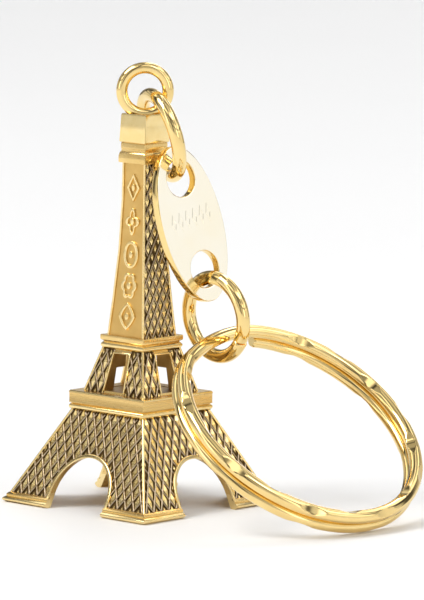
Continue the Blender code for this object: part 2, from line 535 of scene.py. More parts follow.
@dataclass(frozen=True)
class LinkPlace:
    """Where a link is: its centre, the way its axis points, and its turn about that axis."""

    centre: Point3
    heading: float
    elevation: float
    spin: float = 0.0

    def matrix(self) -> Matrix:
        """The link's frame in metres, with local X down the steepest way."""
        turn = Matrix.Rotation(math.radians(self.heading), 4, "Z")
        tilt = Matrix.Rotation(math.radians(90 - self.elevation), 4, "Y")
        own = Matrix.Rotation(math.radians(self.spin), 4, "Z")
        return Matrix.Translation(Vector(self.centre) * MM) @ turn @ tilt @ own


def ring_frames(
    angles: np.ndarray, radius: float, rise: np.ndarray
) -> tuple[np.ndarray, np.ndarray, np.ndarray]:
    """Centre points and section directions round a ring or coil.

    Args:
        angles: Angles in radians.
        radius: Centreline radius in mm.
        rise: Height of each point above the ring's middle plane in mm.

    Returns:
        Path, outward directions and axial directions.
    """
    outward = np.stack((np.cos(angles), np.sin(angles), np.zeros_like(angles)), axis=1)
    path = outward * radius
    path[:, 2] = rise
    axial = np.tile((0.0, 0.0, 1.0), (len(angles), 1))
    return path, outward, axial


@dataclass
class JumpRing:
    """A ring of round wire, cut once, whose ends don't quite line up."""

    name: str
    body: Body
    place: LinkPlace
    radius: float
    cut_angle: float
    wire: float = 1.40
    cut_width: float = 0.16
    end_slip: float = 0.07
    slip_reach: float = 22.0
    end_round: float = 0.10
    steps: int = 220
    sides: int = 32

    def build(self, home: Matrix) -> Object:
        """Makes the ring at its place.

        Args:
            home: The tower axis's place in the frame.

        Returns:
            The finished piece.
        """
        half_cut = self.cut_width / 2 / self.radius
        angles = math.radians(self.cut_angle) + np.linspace(half_cut, math.tau - half_cut, self.steps)
        travelled = np.degrees(angles) - self.cut_angle
        from_start = np.clip(travelled / self.slip_reach, 0, 1)
        from_end = np.clip((360 - travelled) / self.slip_reach, 0, 1)
        rise = self.end_slip * ((1 - from_start) ** 2 - (1 - from_end) ** 2)
        frames = ring_frames(angles, self.radius, rise)
        round_way = np.minimum(travelled, 360 - travelled) / 360 * math.tau * self.radius
        radii = wire_radii(round_way - self.cut_width / 2, self.wire, self.end_round)
        piece = tube(self.name, *frames, round_section(self.sides)[None] * radii[:, None, None])
        piece.data.transform(home @ self.place.matrix())
        return dressed(shaded(piece, 40), FINISHES["wire"])


@dataclass
class EyeRing:
    """The closed ring that stands across the cap's diagonal."""

    centre: Point3 = (0.0, 0.0, 41.50)
    radius: float = 2.30
    wire: float = 1.15
    heading: float = -45.0
    steps: int = 160
    sides: int = 40

    def build(self, home: Matrix) -> Object:
        """Makes the ring in its seat on the cap.

        Args:
            home: The tower axis's place in the frame.

        Returns:
            The finished piece.
        """
        angles = np.linspace(0, math.tau, self.steps, endpoint=False)
        frames = ring_frames(angles, self.radius, np.zeros_like(angles))
        section = round_section(self.sides) * self.wire / 2
        piece = tube("eye_loop", *frames, np.repeat(section[None], self.steps, axis=0), closed=True)
        stand = LinkPlace(self.centre, self.heading, 0.0)
        piece.data.transform(home @ stand.matrix())
        return dressed(shaded(piece, 60), FINISHES["wire"])


@dataclass
class SplitRing:
    """Two turns of flattened wire with one crossing, scalloped by small milled cuts."""

    place: LinkPlace = LinkPlace((17.63, 3.86, 9.24), -6.3, 51.1)
    radius: float = 12.69
    wire: float = 1.40
    flatten: float = 0.90
    turn_gap: float = 0.04
    upper_end: float = 219.0
    lower_end: float = 168.0
    step_length: float = 0.20
    sides: int = 40
    cut_spacing: float = 19.5
    cut_depth: float = 0.17
    cut_reach: float = 1.40
    cut_lean: float = 40.0
    cut_starts: Point2 = (14.0, 12.0)
    cut_stop: float = 8.0
    end_round: float = 0.12

    def cuts(self) -> list[Point2]:
        """The scallops on the coil's upper and lower side.

        Returns:
            Each cut's angle round the coil and the side of the wire that it is on, in degrees.
        """
        found = []
        flip = 1
        for turn, (start, side) in enumerate(zip(self.cut_starts, (90.0, -90.0))):
            angle = self.upper_end + 360.0 * turn + start
            while angle < self.lower_end + 360.0 * (turn + 1) - self.cut_stop:
                found.append((angle, side + flip * self.cut_lean))
                angle, flip = angle + self.cut_spacing, -flip
        return found

    def build(self, home: Matrix) -> Object:
        """Makes the coil with its cuts.

        Args:
            home: The tower axis's place in the frame.

        Returns:
            The finished piece.
        """
        sweep = self.lower_end + 720 - self.upper_end
        count = round(math.radians(sweep) * self.radius / self.step_length)
        degrees = np.linspace(self.upper_end, self.upper_end + sweep, count)
        landed, crossing = self.upper_end + 360, self.lower_end + 360
        fall = np.clip((degrees - crossing) / (landed - crossing), 0, 1)
        fall = fall * fall * (3 - 2 * fall)
        pitch = self.wire * self.flatten + self.turn_gap
        path, outward, axial = ring_frames(np.radians(degrees), self.radius, pitch * (0.5 - fall))

        along = np.radians(np.minimum(degrees - self.upper_end, self.upper_end + sweep - degrees))
        radii = wire_radii(along * self.radius, self.wire, self.end_round)
        sections = round_section(self.sides)[None] * radii[:, None, None]
        for angle, side in self.cuts():
            away = np.radians(degrees - angle) * self.radius
            near = np.abs(away) < self.cut_reach
            level = self.wire / 2 - self.cut_depth * (1 - (away[near] / self.cut_reach) ** 2)
            way = np.array((math.cos(math.radians(side)), math.sin(math.radians(side))))
            proud = np.clip(sections[near] @ way - level[:, None], 0, None)
            sections[near] -= proud[..., None] * way
        sections[..., 1] *= self.flatten
        piece = tube("split_ring_coil", path, outward, axial, sections)
        piece.data.transform(home @ self.place.matrix())
        return dressed(shaded(piece, 24), FINISHES["wire"])


@dataclass
class OvalTag:
    """The polished oval plate, with two holes and a raised row of plain lozenges."""

    place: LinkPlace = LinkPlace((4.09, 2.45, 28.33), -5.5, 10.4, 11.8)
    length: float = 16.0
    width: float = 8.10
    thickness: float = 0.90
    hole: float = 3.70
    hole_spacing: float = 9.40
    edge: float = 0.13
    oval_steps: int = 160
    hole_steps: int = 72
    mark_count: int = 6
    mark_pitch: float = 0.95
    mark_size: Point2 = (1.9, 0.72)
    mark_hollow: float = 0.55
    mark_row: float = -0.55
    mark_height: float = 0.035
    flat: float = 0.97

    def build(self, home: Matrix) -> list[Object]:
        """Makes the plate, with flat faces inside a bright rim, and its raised row; the flat faces' pale
        gold is partly a painted reflection.

        Args:
            home: The tower axis's place in the frame.

        Returns:
            The plate and the row.
        """
        outlines = [ellipse((self.length / 2, self.width / 2), self.oval_steps)]
        for end in (-1, 1):
            centre = (end * self.hole_spacing / 2, 0.0)
            outlines.append(ellipse((self.hole / 2, self.hole / 2), self.hole_steps, centre))
        plate = flat_shape("tag_plate", outlines, self.thickness / 2, self.edge)
        dressed(plate, FINISHES["tag"], FINISHES["wire"])
        row = dressed(self.stamped_row(), FINISHES["tag"])
        for piece in (plate, row):
            shaded(piece, 30)
            for face in piece.data.polygons:
                face.use_smooth = abs(face.normal.z) < self.flat
        # Flat faces keep the pale tag gold, partly a painted reflection; the edge faces take the wire
        # gold.
        for face in plate.data.polygons:
            face.material_index = int(face.use_smooth)
        for piece in (plate, row):
            piece.data.transform(home @ self.place.matrix())
        return [plate, row]

    def stamped_row(self) -> Object:
        """Makes the row of outlined lozenges in the plate's own frame, standing on its face."""
        tall, wide = self.mark_size
        lozenge = [
            [(tall / 2 * s, 0.0), (0.0, wide / 2 * s), (-tall / 2 * s, 0.0), (0.0, -wide / 2 * s)]
            for s in (1.0, self.mark_hollow)
        ]
        mark = flat_shape("stamped_row", lozenge, self.mark_height, self.mark_height / 3)
        values = {"Count": self.mark_count, "Pitch": self.mark_pitch * MM, "Material": FINISHES["tag"]}
        row = grown(mark, row_tree(), values, "tag_stamped_row")
        row.data.transform(Matrix.Translation((self.mark_row * MM, 0.0, self.thickness / 2 * MM)))
        return row


# ---------------------------------------------------------------- node trees that repeat details


class NodeTree:
    """A Geometry Nodes tree with named inputs, built step by step."""

    def __init__(self, name: str) -> None:
        """Makes an empty tree with a geometry input and output."""
        self.tree = bpy.data.node_groups.new(name, "GeometryNodeTree")
        self.tree.interface.new_socket("Geometry", in_out="INPUT", socket_type="NodeSocketGeometry")
        self.tree.interface.new_socket("Geometry", in_out="OUTPUT", socket_type="NodeSocketGeometry")
        self.entry = self.tree.nodes.new("NodeGroupInput")
        self.exit = self.tree.nodes.new("NodeGroupOutput")

    def input(self, name: str, kind: str) -> Socket:
        """Adds a named input and returns its socket inside the tree."""
        self.tree.interface.new_socket(name, in_out="INPUT", socket_type="NodeSocket" + kind)
        return self.entry.outputs[name]
    def inputs(self, kind: str, *names: str) -> list[Socket]:
        """Adds several named inputs of one kind and returns their sockets inside the tree."""
        return [self.input(name, kind) for name in names]

    def node(
        self, kind: str, settings: dict[str, object] | None = None, **inputs: object
    ) -> Socket:
        """Adds a node, as add_node does, and returns its first output."""
        return add_node(self.tree, kind, settings, **inputs).outputs[0]

    def geometry(self, kind: str, **inputs: object) -> Socket:
        """Adds one of the geometry nodes and returns its first output."""
        return self.node("GeometryNode" + kind, **inputs)

    def math(self, operation: str, first: object, second: object) -> Socket:
        """Adds a Math node and returns its result."""
        return self.node("ShaderNodeMath", {"operation": operation}, n0=first, n1=second)

    def vector(self, operation: str, first: object, second: object) -> Socket:
        """Adds a Vector Math node and returns its vector."""
        return self.node("ShaderNodeVectorMath", {"operation": operation}, n0=first, n1=second)

    def xyz(self, **parts: object) -> Socket:
        """Adds a Combine XYZ node and returns its vector."""
        return self.node("ShaderNodeCombineXYZ", **parts)

    def join(self, *sockets: Socket) -> Socket:
        """Joins geometries."""
        made = self.tree.nodes.new("GeometryNodeJoinGeometry")
        for socket in reversed(sockets):
            self.tree.links.new(socket, made.inputs["Geometry"])
        return made.outputs["Geometry"]

    def finish(self, socket: Socket) -> Tree:
        """Leads a geometry to the tree's output."""
        self.tree.links.new(socket, self.exit.inputs["Geometry"])
        return self.tree


def grown(obj: Object, tree: Tree, values: dict[str, object], name: str) -> Object:
    """Runs a node tree on an object and keeps the result as a plain mesh.

    Args:
        obj: The object that the tree starts from.
        tree: The Geometry Nodes tree.
        values: Its inputs by name.
        name: The new object's name.

    Returns:
        The plain mesh object.
    """
    modifier = obj.modifiers.new("growth", "NODES")
    modifier.node_group = tree
    for item in tree.interface.items_tree:
        if item.item_type == "SOCKET" and item.in_out == "INPUT" and item.name in values:
            modifier[item.identifier] = values[item.name]
    obj.update_tag()
    return baked(obj, name)


# How much of a lozenge's half size must lie over its panel, and its size where it doesn't.
TIP_REACH = 0.68
SMALL_LOZENGE = 0.42
# A lozenge's top as a share of its foot, and the number of sides of the bars.
LOZENGE_TOP = 0.22
BAR_SIDES = 6
# How high over a panel its test ray starts, and how far down it goes, in mm.
RAY_START = 2.0
RAY_LENGTH = 5.0


def lattice_tree() -> Tree:
    """Crossing bars with a lozenge in each opening, kept inside the panel that the tree starts from.

    Returns:
        The tree.
    """
    t = NodeTree("lattice_panel")
    across, up, reach = t.inputs("Float", "Pitch Across", "Pitch Up", "Reach")
    lines, steps, columns, rows = t.inputs("Int", "Lines", "Steps", "Columns", "Rows")
    bar_radius, bar_lift = t.inputs("Float", "Bar Radius", "Bar Lift")
    lozenge_size, step_way = t.inputs("Vector", "Lozenge Size", "Step Way")
    ground, bars, lozenge = t.inputs("Material", "Ground", "Bars", "Lozenge")
    panel = t.entry.outputs["Geometry"]

    def over_panel(shift: Socket | Point3) -> Socket:
        """Whether each point, moved sideways by a shift, stands over the panel."""
        above = t.vector("ADD", t.geometry("InputPosition"), (0.0, 0.0, RAY_START * MM))
        return t.geometry(
            "Raycast",
            Target_Geometry=panel,
            Source_Position=t.vector("ADD", above, shift),
            Ray_Direction=(0.0, 0.0, -1.0),
            Ray_Length=RAY_LENGTH * MM,
        )

    def inside(points: Socket) -> Socket:
        """Keeps the points that stand over the panel."""
        missed = t.node("FunctionNodeBooleanMath", {"operation": "NOT"}, n0=over_panel((0.0, 0.0, 0.0)))
        return t.geometry("DeleteGeometry", Geometry=points, Selection=missed)

    def fitted_size() -> Socket:
        """The lozenge's size, shrunk where one of its four tips would pass the panel's edge."""
        room: Socket | None = None
        for x, y in ((TIP_REACH, 0.0), (-TIP_REACH, 0.0), (0.0, TIP_REACH), (0.0, -TIP_REACH)):
            hit = over_panel(t.vector("MULTIPLY", lozenge_size, (x, y, 0.0)))
            room = hit if room is None else t.node("FunctionNodeBooleanMath", n0=room, n1=hit)
        share = t.node("ShaderNodeMapRange", Value=room, To_Min=SMALL_LOZENGE, To_Max=1.0)
        return t.node("ShaderNodeVectorMath", {"operation": "SCALE"}, n0=lozenge_size, Scale=share)

    start = t.xyz(X=t.math("MULTIPLY", reach, -1.0))
    stride = t.xyz(X=across)
    feet = t.geometry("MeshLine", Count=lines, Start_Location=start, Offset=stride)
    line = t.geometry("MeshLine", Count=steps, Offset=step_way)
    leaning = t.geometry("InstanceOnPoints", Points=feet, Instance=line)
    family = t.geometry("RealizeInstances", Geometry=leaning)
    over = t.geometry("Transform", Geometry=family, Translation=t.xyz(Z=bar_lift))
    under = t.geometry("Transform", Geometry=family, Scale=(-1.0, 1.0, 1.0))
    wires = t.geometry("MeshToCurve", Mesh=inside(t.join(over, under)))
    profile = t.geometry("CurvePrimitiveCircle", Resolution=BAR_SIDES, Radius=bar_radius)
    swept = t.geometry("CurveToMesh", Curve=wires, Profile_Curve=profile, Fill_Caps=True)
    round_bars = t.geometry("SetShadeSmooth", Geometry=swept)
    bars_set = t.geometry("SetMaterial", Geometry=round_bars, Material=bars)

    half_across, half_up = t.math("MULTIPLY", across, 0.5), t.math("MULTIPLY", up, 0.5)
    row = t.geometry("MeshLine", Count=columns, Start_Location=start, Offset=stride)
    column = t.geometry("MeshLine", Count=rows, Offset=t.xyz(Y=up))
    spread = t.geometry("InstanceOnPoints", Points=row, Instance=column)
    grid = t.geometry("RealizeInstances", Geometry=spread)
    between = t.geometry("Transform", Geometry=grid, Translation=t.xyz(X=half_across, Y=half_up))
    offset = t.xyz(X=half_across)
    centres = t.geometry("Transform", Geometry=t.join(grid, between), Translation=offset)
    stud = t.geometry("MeshCone", Vertices=4, Radius_Top=LOZENGE_TOP, Radius_Bottom=1.0, Depth=1.0)
    studs = t.geometry("InstanceOnPoints", Points=inside(centres), Instance=stud, Scale=fitted_size())
    plain = t.geometry("RealizeInstances", Geometry=studs)
    studs_set = t.geometry("SetMaterial", Geometry=plain, Material=lozenge)
    ground_set = t.geometry("SetMaterial", Geometry=panel, Material=ground)
    return t.finish(t.join(ground_set, bars_set, studs_set))


def row_tree() -> Tree:
    """Copies of a shape in an even row along Y, centred on the origin.

    Returns:
        The tree.
    """
    t = NodeTree("stamped_row")
    count, pitch = t.input("Count", "Int"), t.input("Pitch", "Float")
    material = t.input("Material", "Material")
    span = t.math("MULTIPLY", t.math("SUBTRACT", count, 1.0), pitch)
    first = t.xyz(Y=t.math("MULTIPLY", span, -0.5))
    points = t.geometry("MeshLine", Count=count, Start_Location=first, Offset=t.xyz(Y=pitch))
    copies = t.geometry("InstanceOnPoints", Points=points, Instance=t.entry.outputs["Geometry"])
    plain = t.geometry("RealizeInstances", Geometry=copies)
    return t.finish(t.geometry("SetMaterial", Geometry=plain, Material=material))


# ---------------------------------------------------------------- tower


@dataclass(frozen=True)
class Stage:
    """A tapering stage of the tower, as (full width, height) levels from low to high."""

    name: str
    levels: tuple[Point2, ...]
    pitch: Point2
    rib_radius: float

    def half_width(self, z: np.ndarray | float) -> np.ndarray | float:
        """Half of the stage's width at a height in mm."""
        return np.interp(z, [h for _, h in self.levels], [w / 2 for w, _ in self.levels])


LOWER_STAGE = Stage("lower", ((18.50, 1.05), (9.84, 9.45)), (1.10, 1.75), 0.13)
MIDDLE_STAGE = Stage("middle", ((8.30, 11.40), (5.63, 15.70)), (1.05, 1.95), 0.12)
SHAFT = Stage(
    "shaft",
    ((5.00, 17.05), (4.34, 20.70), (3.57, 25.70), (3.20, 30.70), (3.16, 34.35)),
    (0.97, 1.60),
    0.12,
)
STAGES = (LOWER_STAGE, MIDDLE_STAGE, SHAFT)
# The shell's finishes by material index; the reveal finish is a darker gold that paints the shade inside
# the middle stage's hollow.
SHELL_FINISHES = ("cast", "field", "rim", "frieze", "reveal_shade")
# Heights in mm between which the shell's upright faces have a finish. The first that fits is taken.
SHELL_BANDS = (
    (17.1, 34.3, "field"),
    (10.1, 11.18, "frieze"),
    # The mouldings' bands and the cap block get the paler rim gold, partly a painted highlight.
    (-1.0, 0.66, "rim"),
    (9.45, 11.4, "rim"),
    (15.7, 16.34, "rim"),
    (36.45, 50.0, "rim"),
)


def bead(width: float, swell: float, low: float, high: float, steps: int = 10) -> list[Point2]:
    """A half-round moulding's profile, as (full width, height) points from low to high."""
    return [
        (width + swell * math.sin(math.pi * i / steps), low + (high - low) * i / steps)
        for i in range(steps + 1)
    ]


def wrapped(obj: Object, stage: Stage, recess: float) -> Object:
    """Lays a flat piece, with X across and Y up, onto a stage's front face.

    Args:
        obj: The flat piece in metres, with local Z as its height off the face.
        stage: The stage whose face it goes on.
        recess: How far behind the stage's own face its zero height lies, in mm.

    Returns:
        The same object, in the tower's frame.
    """
    mesh = obj.data
    flat = np.empty(len(mesh.vertices) * 3)
    mesh.vertices.foreach_get("co", flat)
    flat = flat.reshape(-1, 3)
    out = stage.half_width(flat[:, 1] / MM) * MM - recess * MM + flat[:, 2]
    laid = np.stack((flat[:, 0], -out, flat[:, 1]), axis=1)
    mesh.vertices.foreach_set("co", laid.ravel())
    mesh.update()
    return obj


@dataclass
class TowerCasting:
    """The tower's casting: shell, corner ribs, arch and window borders, lattice panels and ornaments.

    A band's section is its extra half thickness, its edges' rounding and its lift.
    """

    recess: float = 0.20
    ground_lift: float = 0.01
    chamfer: float = 0.06
    level_face: float = 0.95
    reveal_margin: float = 0.08
    seat_clearance: float = 0.08
    arch_half_width: float = 3.80
    arch_spring: float = 1.45
    arch_steps: int = 64
    arch_border: float = 0.36
    arch_border_foot: float = 0.90
    arch_border_section: Point3 = (0.06, 0.09, 0.02)
    window_sill: Point2 = (1.30, 11.60)
    window_head: Point2 = (1.03, 15.30)
    window_border: float = 0.16
    window_border_section: Point3 = (0.03, 0.05, -0.01)
    lower_hollow: tuple[Point2, Point2] = ((18.14, -0.20), (8.90, 9.00))
    middle_hollow: tuple[Point2, Point2] = ((5.30, 11.55), (4.80, 13.80))
    bar_radius: float = 0.070
    bar_lift: float = 0.095
    bar_step: float = 0.14
    lozenge_share: Point3 = (0.28, 0.37, 0.18)
    rib_inset: float = 0.14
    rib_overrun: float = 0.10
    rib_sides: int = 16
    cut_past: float = 14.0
    ornament_half_height: float = 1.38
    ornament_hollow: Point2 = (0.64, 0.76)
    ornament_dot: Point2 = (0.24, 0.36)
    ornament_steps: int = 72
    ornament_section: Point3 = (0.10, 0.05, 0.07)

    def profile(self) -> list[Point2]:
        """The shell's (full width, height) points from the feet to the cap."""
        sunk = 2 * self.recess
        lower, middle, shaft = ([(w - sunk, z) for w, z in stage.levels] for stage in STAGES)
        foot = bead(18.9, 0.70, 0.0, 0.62)
        foot += [(18.92, 0.66), (18.98, 0.74), (18.92, 0.84), (18.6, 0.98)]
        gallery = bead(9.86, 0.42, 9.46, 10.11)
        gallery += [(9.90, 10.12), (10.18, 10.15), (10.26, 10.22), (10.20, 10.28)]
        gallery += [(10.20, 11.16), (10.30, 11.20), (10.28, 11.26), (10.06, 11.40)]
        upper = bead(5.46, 0.40, 15.70, 16.34)
        upper += [(5.42, 16.37), (5.50, 16.42), (5.84, 16.54), (5.92, 16.64), (5.92, 16.96), (5.84, 17.05)]
        cap = [(3.60, 34.36), (3.68, 34.44), (3.68, 35.02), (3.60, 35.12), (3.60, 35.20)]
        cap += [(3.42, 35.42), (3.30, 35.48)]
        neck = [(3.28, 35.60), (3.28, 35.72), (3.34, 35.76), (3.34, 36.26), (3.26, 36.34)]
        block = [(3.48, 36.42), (3.58, 36.52), (3.36, 39.12), (3.22, 39.25)]
        return foot + lower + gallery + middle + upper + shaft + cap + neck + block

    def square_shell(self) -> Object:
        """The outside of the casting, as a solid."""
        rings = []
        for width, z in self.profile():
            h, c = width / 2, width / 2 - self.chamfer
            corners = ((h, -c), (h, c), (c, h), (-c, h), (-h, c), (-h, -c), (-c, -h), (c, -h))
            rings.append([(x, y, z) for x, y in corners])
        return lofted("tower_shell", rings)

    def core(self, name: str, levels: tuple[Point2, Point2]) -> Object:
        """A tapered square core between two (full width, height) levels."""
        halves = [(width / 2, z) for width, z in levels]
        return lofted(name, [[(h, -h, z), (h, h, z), (-h, h, z), (-h, -h, z)] for h, z in halves])

    def arch(self, grow: float = 0.0) -> list[Point2]:
        """The arch's outline from its right foot over the crown, grown outwards by a width."""
        radius = self.arch_half_width + grow
        angles = np.linspace(0, math.pi, self.arch_steps + 1)
        return [(radius * math.cos(a), self.arch_spring + radius * math.sin(a)) for a in angles]

    def tunnel(self, name: str, outline: Sequence[Point2], turn: int) -> Object:
        """An outline of (across, up) points pushed right through the tower."""
        cutter = flat_shape(name, [outline], self.cut_past)
        upright = Matrix.Rotation(math.pi / 2, 4, "X")
        cutter.data.transform(Matrix.Rotation(math.pi / 2 * turn, 4, "Z") @ upright)
        return cutter

    def shell(self) -> Object:
        """The shell with its hollows, arches, windows and the eye's seat cut out.

        Returns:
            The finished piece.
        """
        shell = self.square_shell()
        below = -self.cut_past / 4
        opening = [(self.arch_half_width, below), *self.arch(), (-self.arch_half_width, below)]
        (sill, low), (head, high) = self.window_sill, self.window_head
        window = [(sill, low), (head, high), (-head, high), (-sill, low)]
        cutters = [
            self.core("lower_core", self.lower_hollow),
            self.core("middle_core", self.middle_hollow),
            EyeRing(wire=EyeRing.wire + self.seat_clearance).build(Matrix.Identity(4)),
        ]
        for turn in (0, 1):
            cutters.append(self.tunnel(f"arch_{turn}", opening, turn))
            cutters.append(self.tunnel(f"window_{turn}", window, turn))
        for cutter in cutters:
            cut = shell.modifiers.new(cutter.name, "BOOLEAN")
            cut.operation = "DIFFERENCE"
            cut.solver = "EXACT"
            cut.object = cutter
        shell = baked(shell, "tower_shell")
        for cutter in cutters:
            bpy.data.objects.remove(cutter)
        dressed(shell, *(FINISHES[key] for key in SHELL_FINISHES))
        for face in shell.data.polygons:
            face.material_index = SHELL_FINISHES.index(self.face_finish(face.center / MM, face.normal))
        return shaded(shell, 32)

    def face_finish(self, centre: Vector, normal: Vector) -> str:
        """The finish of one of the shell's faces, with painted shade on those deep inside the middle
        stage's hollow.

        Args:
            centre: The face's centre in mm.
            normal: The way it looks.

        Returns:
            The finish's name.
        """
        (_, floor), (_, ceiling) = MIDDLE_STAGE.levels
        depth = MIDDLE_STAGE.half_width(centre.z) - max(abs(centre.x), abs(centre.y))
        # Faces deep inside the middle stage's hollow get the darker gold, a painted shade.
        if floor < centre.z < ceiling and depth > self.recess + self.reveal_margin:
            return "reveal_shade"
        if abs(normal.z) > self.level_face:
            return "cast"
        fitting = (finish for low, high, finish in SHELL_BANDS if low < centre.z < high)
        return next(fitting, "cast")

    def ribs(self) -> Object:
        """The thin ribs down every corner edge."""
        parts = []
        for stage in STAGES:
            line = [(w / 2 - self.rib_inset, self.rib_inset - w / 2, z) for w, z in stage.levels]
            (x, y, low), (end_x, end_y, high) = line[0], line[-1]
            line[0], line[-1] = (x, y, low - self.rib_overrun), (end_x, end_y, high + self.rib_overrun)
            parts += four_ways(rod(f"rib_{stage.name}", line, stage.rib_radius, self.rib_sides))
        return dressed(shaded(joined("corner_ribs", parts), 50), FINISHES["rim"])

    def raised(
        self,
        outlines: Sequence[Sequence[Point2]],
        stage: Stage,
        section: Point3,
        turns: Sequence[int] = (0, 1, 2, 3),
    ) -> list[Object]:
        """Raises a flat band or ornament off a stage's faces.

        Args:
            outlines: Its closed outlines on the front face, holes among them.
            stage: The stage that it is on.
            section: Its half thickness, its edges' rounding and its middle's height in mm.
            turns: Which faces have it, as quarter turns from the front.

        Returns:
            Its copies.
        """
        half_depth, edge, middle = section
        band = flat_shape("raised_band", outlines, half_depth, edge)
        band.data.transform(Matrix.Translation((0, 0, middle * MM)))
        return four_ways(wrapped(band, stage, self.recess), turns)

    def border(self, name: str, outline: Sequence[Point2], stage: Stage, section: Point3) -> Object:
        """A raised border on all four faces of a stage.

        Args:
            name: The piece's name.
            outline: The border's outline on the front face.
            stage: The stage that it is on.
            section: Its section, as the class gives it.

        Returns:
            The finished piece.
        """
        swell, edge, lift = section
        parts = self.raised([outline], stage, (self.recess / 2 + swell, edge, self.recess / 2 + lift))
        return dressed(shaded(joined(name, parts), 50), FINISHES["rim"])

    def arch_borders(self) -> Object:
        """The raised border round each arch, with its legs down to the foot."""
        foot, inner_leg = self.arch_border_foot, self.arch_half_width
        outer_leg = inner_leg + self.arch_border
        band = [(outer_leg, foot), *self.arch(self.arch_border), (-outer_leg, foot)]
        band += [(-inner_leg, foot), *self.arch()[::-1], (inner_leg, foot)]
        return self.border("arch_borders", band, LOWER_STAGE, self.arch_border_section)

    def window_borders(self) -> Object:
        """The thin raised border up both sides and over the top of each window."""
        (sill, low), (head, high) = self.window_sill, self.window_head
        b = self.window_border
        band = [(sill + b, low), (head + b, high + b), (-head - b, high + b), (-sill - b, low)]
        band += [(-sill, low), (-head, high), (head, high), (sill, low)]
        return self.border("window_borders", band, MIDDLE_STAGE, self.window_border_section)

    def lattice(
        self,
        tree: Tree,
        stage: Stage,
        outlines: Sequence[Sequence[Point2]],
        turns: Sequence[int] = (0, 1, 2, 3),
    ) -> Object:
        """Lattice panels on a stage's faces.

        Args:
            tree: The tree that grows a lattice on a panel.
            stage: The stage that they cover.
            outlines: Each panel's outline on the front face.
            turns: Which faces have them, as quarter turns from the front.

        Returns:
            The finished piece.
        """
        name = f"lattice_{stage.name}"
        across, up = stage.pitch
        points = [point for outline in outlines for point in outline]
        base = min(y for _, y in points)
        height = max(y for _, y in points) - base
        width = max(x for x, _ in points)
        faces, first = [], 0
        for outline in outlines:
            faces.append(range(first, first + len(outline)))
            first += len(outline)
        panel = mesh_object(f"{name}_panel", [(x * MM, (y - base) * MM, 0.0) for x, y in points], faces)
        slope = math.hypot(across, up)
        way = (across / slope * self.bar_step, up / slope * self.bar_step)
        drift = height * across / up
        reach = math.ceil((width + drift) / across) * across
        values = {
            "Pitch Across": across * MM,
            "Pitch Up": up * MM,
            "Reach": reach * MM,
            "Lines": round((reach + width) / across) + 1,
            "Steps": math.ceil(height / way[1]) + 2,
            "Columns": round(2 * reach / across) + 1,
            "Rows": math.ceil(height / up) + 1,
            "Bar Radius": self.bar_radius * MM,
            "Bar Lift": self.bar_lift * MM,
            "Lozenge Size": tuple(s * p * MM for s, p in zip(self.lozenge_share, (across, up, 1.0))),
            "Step Way": (way[0] * MM, way[1] * MM, 0.0),
            "Ground": FINISHES["recess"],
            "Bars": FINISHES["bars"],
            "Lozenge": FINISHES["lozenge"],
        }
        grid = grown(panel, tree, values, name)
        grid.data.transform(Matrix.Translation((0.0, base * MM, 0.0)))
        return joined(name, four_ways(wrapped(grid, stage, self.recess - self.ground_lift), turns))

    def face_outline(self, stage: Stage) -> list[Point2]:
        """A stage's front face inside its corner ribs, up its right side and down its left."""
        right = [(w / 2 - self.recess, z) for w, z in stage.levels]
        return right + [(-x, z) for x, z in reversed(right)]

    def lattices(self) -> list[Object]:
        """The lattice of the lower stage, the middle stage and the shaft's two sides.

        Returns:
            The three finished pieces.
        """
        foot = LOWER_STAGE.levels[0][1]
        half_border = self.arch_border / 2
        leg = self.arch_half_width + half_border
        lower = self.face_outline(LOWER_STAGE)
        lower += [(-leg, foot), *self.arch(half_border)[::-1], (leg, foot)]

        (_, low), (_, high) = MIDDLE_STAGE.levels
        (sill, sill_z), (head, head_z) = self.window_sill, self.window_head
        b = self.window_border / 2
        right = self.face_outline(MIDDLE_STAGE)[:2]
        right += [(head + b, high), (head + b, head_z), (sill + b, sill_z), (sill + b, low)]
        left = [(-x, y) for x, y in reversed(right)]

        tree = lattice_tree()
        return [
            self.lattice(tree, LOWER_STAGE, [lower]),
            self.lattice(tree, MIDDLE_STAGE, [right, left]),
            self.lattice(tree, SHAFT, [self.face_outline(SHAFT)], (1, 3)),
        ]

    def ornaments(self) -> Object:
        """Five plain raised ornaments down the shaft's front and back.

        Returns:
            The finished piece.
        """
        shapes: list[tuple[float, float, Callable[[float], float]]] = [
            (31.9, 0.86, lambda a: 1.0 / (abs(math.cos(a)) + abs(math.sin(a)))),
            (28.5, 0.92, lambda a: 0.78 + 0.22 * math.cos(4 * a)),
            (25.2, 0.98, lambda a: 1.0),
            (22.1, 1.04, lambda a: 0.80 + 0.20 * abs(math.cos(3 * a))),
            (19.05, 1.10, lambda a: 1.0 / (abs(math.cos(a)) + abs(math.sin(a))) ** 0.6),
        ]
        angles = np.linspace(0, math.tau, self.ornament_steps, endpoint=False)
        dot_wide, dot_tall = self.ornament_dot
        parts = []
        for z, half, radius in shapes:
            loops = [
                [
                    (
                        half * s * radius(a) * math.cos(a),
                        z + self.ornament_half_height * t * radius(a) * math.sin(a),
                    )
                    for a in angles
                ]
                for s, t in ((1.0, 1.0), self.ornament_hollow)
            ]
            dot = ellipse((half * dot_wide, dot_tall), self.ornament_steps // 3, (0.0, z))
            for outlines in (loops, [dot]):
                parts += self.raised(outlines, SHAFT, self.ornament_section, (0, 2))
        return dressed(shaded(joined("shaft_ornaments", parts), 50), FINISHES["rim"])

    def build(self, home: Matrix) -> list[Object]:
        """Makes every piece of the tower.

        Args:
            home: The tower axis's place in the frame.

        Returns:
            The pieces, the shell first.
        """
        pieces = [self.shell(), self.ribs(), self.arch_borders(), self.window_borders(), self.ornaments()]
        pieces += self.lattices()
        for piece in pieces:
            piece.data.transform(home)
        return pieces


# ---------------------------------------------------------------- studio


